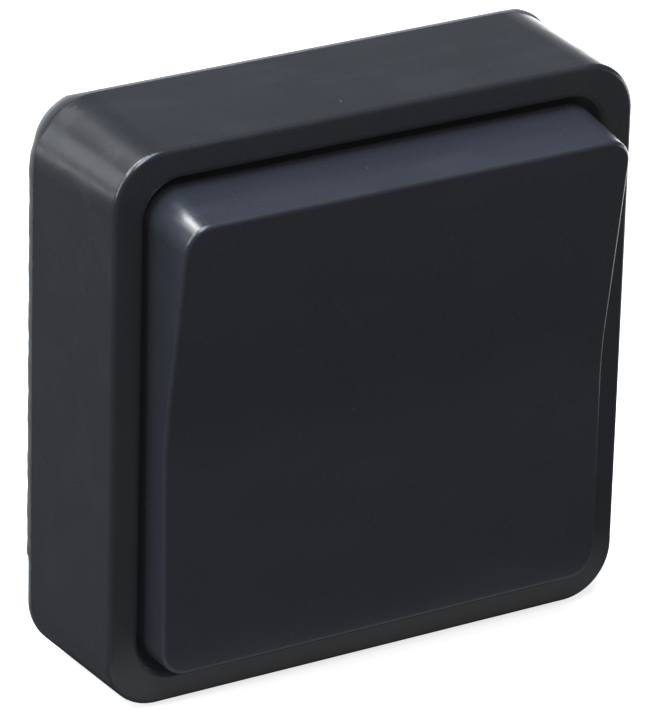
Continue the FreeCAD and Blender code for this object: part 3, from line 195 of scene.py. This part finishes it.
def calculate(tree, operation, *values, clamp=False):
    """A Math node's result for one, two or three values or outputs."""
    node = put(tree, "Math", dict(enumerate(values)), operation=operation, use_clamp=clamp)
    return node.outputs[0]


def times(tree, value, factor):
    """The value times the factor."""
    return calculate(tree, "MULTIPLY", value, factor)


def raised(tree, value, factor, start):
    """The start plus the value times the factor."""
    return calculate(tree, "MULTIPLY_ADD", value, factor, start)


def between(tree, value, low, high, most=1.0):
    """From 0 at the value low to the most at the value high."""
    sockets = {"Value": value, "From Min": low, "From Max": high, "To Max": most}
    return put(tree, "MapRange", sockets).outputs[0]


def solid(colour):
    """The colour with full cover."""
    return (*colour, 1.0)


def grey(level):
    """A grey of the given level, with full cover."""
    return (level, level, level, 1.0)


def blend_colours(tree, share, first, second):
    """First where share is 0, second where it is 1."""
    node = put(tree, "Mix", {0: share, 6: first, 7: second}, data_type="RGBA")
    return node.outputs[2]


def make_world():
    """White for the camera; for everything else a dim studio with a bright horizon behind it on the right.

    The horizon comes up with the slope of a direction: its share to the right and back, less its rise.
    """
    sideways_share, rise_share, slope_start, slope_full = 0.7, -1.2, 0.42, 0.98
    world = bpy.data.worlds.new("studio")
    bpy.context.scene.world = world
    world.use_nodes = True
    tree = world.node_tree
    tree.nodes.clear()
    direction = put(tree, "TexCoord").outputs["Generated"]
    axes = put(tree, "SeparateXYZ", {"Vector": direction}).outputs
    sideways = calculate(tree, "ADD", axes["X"], axes["Y"])
    slope = raised(tree, sideways, sideways_share, times(tree, axes["Z"], rise_share))
    room = blend_colours(tree, between(tree, slope, slope_start, slope_full), solid(ROOM), solid(HORIZON))
    seen = put(tree, "LightPath").outputs["Is Camera Ray"]
    colour = blend_colours(tree, seen, room, grey(BACKGROUND))
    shader = put(tree, "Background", {"Color": colour})
    put(tree, "OutputWorld", {"Surface": shader.outputs[0]})


def floor_glow(tree):
    """What reflections see of the floor's own light.

    It comes up along the diagonal behind the object on the right, and in a short band at its lower front
    edge. All lengths are in metres.
    """
    diagonal_share, glow_start, glow_full, glow = 0.7, 0.06, 0.20, 4.0
    band_place, band_end, band_full, band_glow = 0.030, 0.010, 0.004, 0.30
    side_end, side_full = 0.055, 0.040
    axes = put(tree, "SeparateXYZ", {"Vector": put(tree, "TexCoord").outputs["Object"]}).outputs
    diagonal = times(tree, calculate(tree, "ADD", axes["X"], axes["Y"]), diagonal_share)
    behind = blend_colours(tree, between(tree, diagonal, glow_start, glow_full), grey(0.0), grey(glow))
    ahead = calculate(tree, "ABSOLUTE", calculate(tree, "ADD", axes["Y"], band_place))
    near = between(tree, ahead, band_end, band_full)
    beside = between(tree, calculate(tree, "ABSOLUTE", axes["X"]), side_end, side_full)
    return blend_colours(tree, calculate(tree, "MULTIPLY", near, beside), behind, grey(band_glow))


def make_floor():
    """A white sheet: the camera sees a soft shadow on it, and reflections see it as floor_glow says."""
    dim, white, lift, dullness = 0.06, 0.75, 0.8, 0.9
    signs = ((-1, -1), (1, -1), (1, 1), (-1, 1))
    corners = [(x * FLOOR_HALF, y * FLOOR_HALF, FLOOR_LEVEL) for x, y in signs]
    mesh = bpy.data.meshes.new("studio_floor")
    mesh.from_pydata(corners, [], [(0, 1, 2, 3)])
    floor = bpy.data.objects.new("studio_floor", mesh)
    bpy.context.scene.collection.objects.link(floor)
    material = bpy.data.materials.new("floor_white")
    material.use_nodes = True
    tree = material.node_tree
    shader = tree.nodes["Principled BSDF"]
    seen = put(tree, "LightPath").outputs["Is Camera Ray"]
    tree.links.new(blend_colours(tree, seen, grey(dim), grey(white)), shader.inputs["Base Color"])
    tree.links.new(blend_colours(tree, seen, floor_glow(tree), grey(lift)), shader.inputs["Emission Color"])
    shader.inputs["Emission Strength"].default_value = 1.0
    shader.inputs["Roughness"].default_value = dullness
    shader.inputs["Specular IOR Level"].default_value = 0.0
    mesh.materials.append(material)


# effects that several finishes share


def make_group(name, inputs, outputs):
    """An empty node group with float inputs and their defaults, a vector input Place, and float outputs."""
    group = bpy.data.node_groups.new(name, "ShaderNodeTree")
    group.interface.new_socket(name="Place", in_out="INPUT", socket_type="NodeSocketVector")
    for label, default in inputs.items():
        socket = group.interface.new_socket(name=label, in_out="INPUT", socket_type="NodeSocketFloat")
        socket.default_value = default
    for label in outputs:
        group.interface.new_socket(name=label, in_out="OUTPUT", socket_type="NodeSocketFloat")
    start = group.nodes.new("NodeGroupInput")
    end = group.nodes.new("NodeGroupOutput")
    return group, start.outputs, end.inputs


def per_metre(tree, size):
    """How many times a size in millimetres goes into a metre, which is a texture's scale."""
    return calculate(tree, "DIVIDE", 1.0 / MM, size)


def noise(tree, place, size, detail, roughness):
    """Noise from 0 to 1, whose largest lumps have the size in millimetres."""
    sockets = {"Vector": place, "Scale": per_metre(tree, size), "Detail": detail, "Roughness": roughness}
    return put(tree, "TexNoise", sockets).outputs[0]


def make_grain():
    """Fine moulded grain, and slow clouds in shade and gloss, both from 0 to 1."""
    sizes = {"Grain Size": 0.25, "Cloud Size": 14.0}
    group, given, result = make_group("moulded_grain", sizes, ("Grain", "Clouds"))
    grain = noise(group, given["Place"], given["Grain Size"], detail=3.0, roughness=0.65)
    clouds = noise(group, given["Place"], given["Cloud Size"], detail=4.0, roughness=0.55)
    group.links.new(grain, result["Grain"])
    group.links.new(clouds, result["Clouds"])
    return group


def make_edge_wear():
    """0 on flats and up to 1 on edges, broken up by noise.

    An edge is where the surface bends away from a rounded copy of itself, told by the cosine between them.
    """
    bend_start, bend_full, break_low, break_high = 0.995, 0.86, 0.40, 0.68
    group, given, result = make_group("edge_wear", {"Reach": 0.5, "Break Size": 1.5}, ("Mask",))
    rounded = put(group, "Bevel", {"Radius": times(group, given["Reach"], MM)}, samples=6).outputs[0]
    true = put(group, "NewGeometry").outputs["Normal"]
    bend = put(group, "VectorMath", {0: rounded, 1: true}, operation="DOT_PRODUCT").outputs["Value"]
    away = between(group, bend, bend_start, bend_full)
    lumps = noise(group, given["Place"], given["Break Size"], detail=4.0, roughness=0.7)
    broken = between(group, lumps, break_low, break_high)
    group.links.new(calculate(group, "MULTIPLY", away, broken, clamp=True), result["Mask"])
    return group


def make_dust():
    """Separate pale specks: a small blot round the point of a few of the cells of a random pattern.

    The blots are bent by fine noise, so that they aren't round.
    """
    warp_scale, warp_reach, blot_edge = 2600.0, 0.00012, 0.012
    inputs = {"Spacing": 4.0, "Share": 0.12, "Speck": 0.05}
    group, given, result = make_group("dust_specks", inputs, ("Mask",))
    warp = put(group, "TexNoise", {"Vector": given["Place"], "Scale": warp_scale, "Detail": 1.0})
    shift = put(group, "VectorMath", {0: warp.outputs[1], "Scale": warp_reach}, operation="SCALE")
    place = put(group, "VectorMath", {0: given["Place"], 1: shift.outputs[0]}, operation="ADD").outputs[0]
    cells = put(group, "TexVoronoi", {"Vector": place, "Scale": per_metre(group, given["Spacing"])})
    pick = put(group, "SeparateColor", {"Color": cells.outputs["Color"]})
    chosen = calculate(group, "LESS_THAN", pick.outputs[0], given["Share"])
    size = calculate(group, "MULTIPLY", given["Speck"], pick.outputs[1])
    inside = calculate(group, "SUBTRACT", size, cells.outputs["Distance"])
    soft = between(group, inside, 0.0, blot_edge)
    group.links.new(calculate(group, "MULTIPLY", chosen, soft, clamp=True), result["Mask"])
    return group


def make_smears():
    """Soft smears from handling: drawn-out noise, kept only where it is high, from 0 to 1."""
    tilt, squeeze, kept_low, kept_high = (0.5, 0.9, 0.3), (1.0, 2.4, 1.6), 0.52, 0.72
    group, given, result = make_group("hand_smears", {"Length": 12.0}, ("Mask",))
    drawn = put(group, "Mapping", {"Vector": given["Place"], "Rotation": tilt, "Scale": squeeze}).outputs[0]
    lumps = noise(group, drawn, given["Length"], detail=3.0, roughness=0.5)
    group.links.new(between(group, lumps, kept_low, kept_high), result["Mask"])
    return group


def make_rolled():
    """Fine lines that rolling or turning leaves on metal, drawn out along X, from 0 to 1."""
    group, given, result = make_group("rolled_lines", {"Spacing": 0.15, "Stretch": 30.0}, ("Lines",))
    squeeze = calculate(group, "DIVIDE", 1.0, given["Stretch"])
    axes = put(group, "SeparateXYZ", {"Vector": given["Place"]}).outputs
    drawn = calculate(group, "MULTIPLY", axes["X"], squeeze)
    place = put(group, "CombineXYZ", {"X": drawn, "Y": axes["Y"], "Z": axes["Z"]}).outputs[0]
    group.links.new(noise(group, place, given["Spacing"], detail=3.0, roughness=0.6), result["Lines"])
    return group


GRAIN = make_grain()
EDGE_WEAR = make_edge_wear()
DUST = make_dust()
SMEARS = make_smears()
ROLLED = make_rolled()


def use_group(tree, group, place, **values):
    """Place a shared effect with its own values; an input's name is given with _ for a space."""
    node = put(tree, "Group", node_tree=group)
    tree.links.new(place, node.inputs["Place"])
    for label, value in values.items():
        node.inputs[label.replace("_", " ")].default_value = value
    return node.outputs


# finishes


def new_finish(name):
    """A new material, its node tree, its shader and the place that its effects read."""
    material = bpy.data.materials.new(name)
    material.use_nodes = True
    tree = material.node_tree
    place = put(tree, "TexCoord").outputs["Object"]
    return material, tree, tree.nodes["Principled BSDF"], place


def scaled(colour, factor):
    """The colour times the factor, with full cover and no channel above 1."""
    return solid(min(1.0, factor * channel) for channel in colour)


def shade(tree, share, colour, amount):
    """The colour, darker and lighter by the amount as share goes from 0 to 1."""
    return blend_colours(tree, share, scaled(colour, 1.0 - amount), scaled(colour, 1.0 + amount))


def emboss(tree, shader, height, depth):
    """A bump from the height, with its depth in millimetres."""
    bump = put(tree, "Bump", {"Strength": 1.0, "Distance": depth * MM, "Height": height})
    tree.links.new(bump.outputs[0], shader.inputs["Normal"])


def moulded(name, colour, worn, roughness, grain_depth, dust_share=0.1, lift=(0.0, 0.0, 0.0), specular=0.5):
    """Moulded plastic: clouds in shade and gloss, fine grain, paler worn edges, dust and dull smears."""
    variation, cloud_gloss, smear_gloss, wear_gloss, dust_gloss = 0.07, 0.12, 0.06, 0.03, 0.4
    grain_low, grain_high = 0.35, 0.65
    material, tree, shader, place = new_finish(name)
    grain = use_group(tree, GRAIN, place)
    wear = use_group(tree, EDGE_WEAR, place)["Mask"]
    dust = use_group(tree, DUST, place, Share=dust_share)["Mask"]
    smear = use_group(tree, SMEARS, place)["Mask"]
    base = shade(tree, grain["Clouds"], colour, variation)
    speckle = between(tree, grain["Grain"], grain_low, grain_high, most=SPECKLE_SHARE)
    speckled = blend_colours(tree, speckle, base, solid(worn))
    edged = blend_colours(tree, times(tree, wear, EDGE_SHARE), speckled, solid(worn))
    smeared = blend_colours(tree, times(tree, smear, SMEAR_SHARE), edged, solid(worn))
    dusted = blend_colours(tree, dust, smeared, solid(DUST_ON_PLASTIC))
    tree.links.new(dusted, shader.inputs["Base Color"])
    clouded = raised(tree, grain["Clouds"], cloud_gloss, roughness - cloud_gloss / 2)
    duller = raised(tree, smear, smear_gloss, raised(tree, wear, wear_gloss, clouded))
    tree.links.new(raised(tree, dust, dust_gloss, duller), shader.inputs["Roughness"])
    emboss(tree, shader, grain["Grain"], grain_depth)
    shader.inputs["Specular IOR Level"].default_value = specular
    # painted glow: the lift is emission that stands in for fill light in the plastic's shaded gaps
    shader.inputs["Emission Color"].default_value = solid(lift)
    shader.inputs["Emission Strength"].default_value = 1.0
    return material


def rubber(name, colour, roughness):
    """Soft rubber: matt, with slow clouds, a fine dull bloom, dust and small pits."""
    variation, cloud_gloss, bloom_share, dust_share, pit_depth = 0.15, 0.15, 0.25, 0.6, 0.02
    gloss_below, bloom_keep, bloom_pale = 0.07, 0.7, 0.12
    bloom = tuple(bloom_keep * channel + bloom_pale for channel in colour)
    material, tree, shader, place = new_finish(name)
    grain = use_group(tree, GRAIN, place, Grain_Size=0.18, Cloud_Size=5.0)
    dust = use_group(tree, DUST, place, Share=0.15, Spacing=2.5, Speck=0.08)["Mask"]
    base = shade(tree, grain["Clouds"], colour, variation)
    bloomed = blend_colours(tree, times(tree, grain["Grain"], bloom_share), base, solid(bloom))
    dusted = blend_colours(tree, times(tree, dust, dust_share), bloomed, solid(DUST_ON_RUBBER))
    tree.links.new(dusted, shader.inputs["Base Color"])
    clouded = raised(tree, grain["Clouds"], cloud_gloss, roughness - gloss_below)
    tree.links.new(clouded, shader.inputs["Roughness"])
    emboss(tree, shader, grain["Grain"], pit_depth)
    return material


def metal(name, colour, tint, roughness, stretch=30.0):
    """Rolled or plated metal: drawn-out lines, a slow drift between two tints, and brighter worn edges."""
    cloud_low, cloud_high, line_share, edge_share = 0.35, 0.65, 0.3, 0.5
    cloud_gloss, line_gloss, line_depth = 0.2, 0.1, 0.004
    line_shade, edge_shade = 0.55, 1.2
    material, tree, shader, place = new_finish(name)
    lines = use_group(tree, ROLLED, place, Stretch=stretch)["Lines"]
    grain = use_group(tree, GRAIN, place, Grain_Size=0.4, Cloud_Size=7.0)
    wear = use_group(tree, EDGE_WEAR, place, Reach=0.2)["Mask"]
    drift = between(tree, grain["Clouds"], cloud_low, cloud_high)
    base = blend_colours(tree, drift, solid(colour), solid(tint))
    lined = blend_colours(tree, times(tree, lines, line_share), base, scaled(colour, line_shade))
    edged = blend_colours(tree, times(tree, wear, edge_share), lined, scaled(colour, edge_shade))
    tree.links.new(edged, shader.inputs["Base Color"])
    shader.inputs["Metallic"].default_value = 1.0
    clouded = raised(tree, grain["Clouds"], cloud_gloss, roughness - cloud_gloss / 2)
    tree.links.new(raised(tree, lines, line_gloss, clouded), shader.inputs["Roughness"])
    emboss(tree, shader, lines, line_depth)
    return material


FINISHES = {
    name: make(name, **look)
    for make, looks in ((moulded, MOULDED), (rubber, RUBBERS), (metal, METALS))
    for name, look in looks.items()
}


# soft pieces


def add_piece(name, points, finish, body, node):
    """A closed ring of closed loops as a mesh: points[i, j] is point j of loop i, and both ways run round.

    Its faces are turned outwards by the sign of the volume that they enclose.
    """
    loops, around = points.shape[:2]
    index = np.arange(loops * around).reshape(loops, around)
    ahead, beside = np.roll(index, -1, axis=0), np.roll(index, -1, axis=1)
    corner = np.roll(ahead, -1, axis=1)
    faces = np.stack([index, ahead, corner, beside], axis=-1).reshape(-1, 4)
    flat = points.reshape(-1, 3)
    a, b, c, d = (flat[faces[:, k]] for k in range(4))
    volume = np.einsum("ij,ij->i", a, np.cross(b, c) + np.cross(c, d)).sum()
    add_mesh(name, flat, faces if volume > 0 else faces[:, ::-1], finish, body, node)


def add_mesh(name, places, faces, finish, body, node):
    """An object of four-cornered faces, which rides with the body and replaces the CAD node."""
    mesh = bpy.data.meshes.new(name)
    mesh.vertices.add(len(places))
    mesh.vertices.foreach_set("co", places.astype(np.float32).ravel())
    mesh.loops.add(faces.size)
    mesh.loops.foreach_set("vertex_index", faces.astype(np.int32).ravel())
    mesh.polygons.add(len(faces))
    mesh.polygons.foreach_set("loop_start", np.arange(0, faces.size, 4, dtype=np.int32))
    mesh.update(calc_edges=True)
    mesh.validate()
    mesh.shade_smooth()
    mesh.materials.append(FINISHES[finish])
    piece = bpy.data.objects.new(name, mesh)
    bpy.context.scene.collection.objects.link(piece)
    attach(piece, body)
    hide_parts(node)


def rounded_frame(arc_steps, straight_steps):
    """The corner signs and the outward normals round a rectangle with round corners, in X and Z.

    The normal turns a quarter at each corner, and stays still while the place slides on to the next corner.
    """
    turn = [quarter + np.linspace(0.0, 1.0, arc_steps, endpoint=False) for quarter in range(4)]
    still = [np.full(straight_steps, quarter + 1.0) for quarter in range(4)]
    angle = np.concatenate([part for pair in zip(turn, still) for part in pair]) * math.pi / 2
    signs = np.array([(1.0, 1.0), (-1.0, 1.0), (-1.0, -1.0), (1.0, -1.0)])
    slide = np.linspace(0.0, 1.0, straight_steps, endpoint=False)[:, None]
    rest = [np.repeat(signs[quarter][None], arc_steps, axis=0) for quarter in range(4)]
    move = [signs[quarter] * (1 - slide) + signs[(quarter + 1) % 4] * slide for quarter in range(4)]
    corner = np.concatenate([part for pair in zip(rest, move) for part in pair])
    return corner, np.stack([np.cos(angle), np.sin(angle)], axis=-1)


def smooth_step(value, low, high):
    """From 0 at low to 1 at high, flat at both ends: three squares less two cubes of the share."""
    share = np.clip((value - low) / (high - low), 0.0, 1.0)
    return share * share * (3.0 - 2.0 * share)


def node_box(name):
    """The lowest and the highest corner of a CAD node, in millimetres to a tenth of a micron."""
    mesh = NODES[name].data
    places = np.empty(3 * len(mesh.vertices), dtype=np.float32)
    mesh.vertices.foreach_get("co", places)
    places = np.round(places.reshape(-1, 3).astype(float) / MM, 4)
    return places.min(axis=0), places.max(axis=0)


def seal_lip(signs, normals, level, corner, most):
    """How far the seal's outer edge stands proud of its plain outline at each place round it.

    Along both sides it is the most times slow waves, which are a mean plus two sines of the level. At its
    lower end it fades out in a smooth step, with a small bell-shaped bump. At the upper corners a swelling is
    added, larger on the left, which is held below the level of the top edge. The top and the bottom have no
    lip. The side is the square of the normal's share to the side: 0 on the top, and 1 on both sides.
    """
    wave_mean, slow_wave, fast_wave, slow_turn, fast_turn = 0.80, 0.12, 0.08, 0.9, 2.3
    end_low, end_high, bump_level, bump_reach, bump = -25.6, -24.2, -24.4, 0.7, 0.05
    swell_left, swell_right, swell_full, swell_end, top_fade = 1.8, 0.25, 0.5, 0.95, 0.08
    on_side, least = 0.99, 0.01
    side = normals[:, 0] ** 2
    slow = slow_wave * np.sin(level * slow_turn + signs[:, 0])
    waves = wave_mean + slow + fast_wave * np.sin(level * fast_turn)
    plain = most * smooth_step(level, end_low, end_high) * waves
    ended = np.minimum(plain + bump * np.exp(-((level - bump_level) / bump_reach) ** 2), most)
    swell = np.where(signs[:, 0] < 0.0, swell_left, swell_right)
    swell = swell * (1.0 - smooth_step(side, swell_full, swell_end))
    room = corner * (1.0 / np.sqrt(np.maximum(1.0 - side, least)) - 1.0)
    bulge = np.minimum(most * smooth_step(side, 0.0, top_fade) * (waves + swell), room)
    upper = (normals[:, 1] > 0.0) * (level > 0.0)
    return np.where(upper, bulge, ended * (side > on_side))


def wall_seal():
    """The grey seal: a round-edged strip, run round the housing's rear edge, with a lip as seal_lip gives.

    Across it, the section is a superellipse between the inner and the outer edge: the cosine and the sine of
    the turn keep their signs and are raised to a power below 1. Its half height, its thickness and the most
    that its lip stands proud are those of the CAD node.
    """
    low, high = node_box("rear_gasket")
    half, thick = high[2], high[1] - low[1]
    most = round(high[0] - half, 4)
    corner, width, power = 8.9, 4.0, 0.7
    signs, normals = rounded_frame(arc_steps=28, straight_steps=90)
    edge = signs * (half - corner) + corner * normals
    lip = seal_lip(signs, normals, edge[:, 1], corner, most)
    turn = np.linspace(0.0, 2.0 * math.pi, 28, endpoint=False)
    across = np.sign(np.cos(turn)) * np.abs(np.cos(turn)) ** power
    through = np.sign(np.sin(turn)) * np.abs(np.sin(turn)) ** power
    middle = (lip - width) / 2.0
    reach = (lip + width) / 2.0
    offset = middle[:, None] + reach[:, None] * across[None, :]
    ring = edge[:, None, :] + offset[..., None] * normals[:, None, :]
    depth = np.broadcast_to(-thick / 2.0 + thick / 2.0 * through, offset.shape)
    points = np.stack([ring[..., 0], depth, ring[..., 1]], axis=-1) * MM
    add_piece("wall_seal", points, "grey_seal", "fixed", "rear_gasket")


def profile_loops(outline):
    """Loops round a rectangle with round corners, one for each (half width, half height, corner, depth)."""
    signs, normals = rounded_frame(arc_steps=10, straight_steps=6)
    half = outline[:, None, :2]
    corner = outline[:, None, 2:3]
    flat = signs[None] * (half - corner) + corner * normals[None]
    depth = np.broadcast_to(outline[:, None, 3], flat.shape[:2])
    return np.stack([flat[..., 0], depth, flat[..., 1]], axis=-1) * MM


def soften(corners, rounds):
    """A closed line with its corners cut: each run keeps the points at a quarter and three quarters of it."""
    line = corners
    for _ in range(rounds):
        ahead = np.roll(line, -1, axis=0)
        cut = np.stack([0.75 * line + 0.25 * ahead, 0.25 * line + 0.75 * ahead], axis=1)
        line = cut.reshape(-1, line.shape[1])
    return line


def rubber_boot():
    """The boot: an outline of (half width, half height, corner, depth), softened and run round the finger.

    It goes from the rear flange through the waist to the front flange, up a cone with one shallow fold, over
    the lip at the finger, and back down inside.
    """
    rear_flange = [(12.5, 9.5, 4.0, -8.05), (12.5, 9.5, 4.0, -8.95)]
    waist = [(10.95, 7.95, 2.45, -9.0), (10.95, 7.95, 2.45, -11.0)]
    front_flange = [(12.5, 9.5, 4.0, -11.05), (12.5, 9.5, 4.0, -11.95)]
    cone = [(10.6, 7.6, 2.4, -12.1), (8.4, 5.9, 2.2, -13.7), (6.5, 4.3, 1.9, -15.2)]
    lip = [(4.35, 2.4, 1.45, -16.55), (3.6, 1.7, 0.7, -16.65), (3.27, 1.27, 0.27, -16.1)]
    inside = [(5.0, 3.0, 1.0, -14.9), (7.3, 4.9, 1.3, -13.4), (9.6, 6.7, 1.4, -11.8)]
    bore = [(9.97, 6.97, 1.47, -10.0), (9.97, 6.97, 1.47, -8.05)]
    outline = np.array(rear_flange + waist + front_flange + cone + lip + inside + bore)
    add_piece("rubber_boot", profile_loops(soften(outline, 2)), "black_rubber", "fixed", "stem_boot")


def sealing_rings():
    """Four washers of soft rubber: a round-cornered section turned about each screw's axis.

    Their places and their depth are those of the CAD node.
    """
    inner, outer = 1.6, 3.3
    low, high = node_box("screw_seals")
    place, rear, front = high[0] - outer, high[1], low[1]
    section = soften(np.array([(inner, front), (outer, front), (outer, rear), (inner, rear)]), 3)
    turn = np.linspace(0.0, 2.0 * math.pi, 40, endpoint=False)
    ring = np.stack([
        section[None, :, 0] * np.cos(turn)[:, None],
        np.broadcast_to(section[None, :, 1], (len(turn), len(section))),
        section[None, :, 0] * np.sin(turn)[:, None],
    ], axis=-1)
    for number, (x, z) in enumerate(((-1, -1), (-1, 1), (1, -1), (1, 1)), start=1):
        points = (ring + np.array([x * place, 0.0, z * place])) * MM
        add_piece(f"sealing_ring_{number}", points, "black_rubber", "fixed", "screw_seals")


def dress_nodes():
    """Each CAD node gets the finish of its slot in the record."""
    slots = {part["node"]: part["material_slot"] for part in frame["record"]["subparts"]}
    for name, item in NODES.items():
        item.data.materials.clear()
        item.data.materials.append(FINISHES[slots[name]])


bpy.context.scene.view_settings.view_transform = "Standard"
place_camera()
for lamp_name, lamp_look in LAMPS.items():
    softbox(lamp_name, **lamp_look)
make_world()
make_floor()
dress_nodes()
wall_seal()
rubber_boot()
sealing_rings()
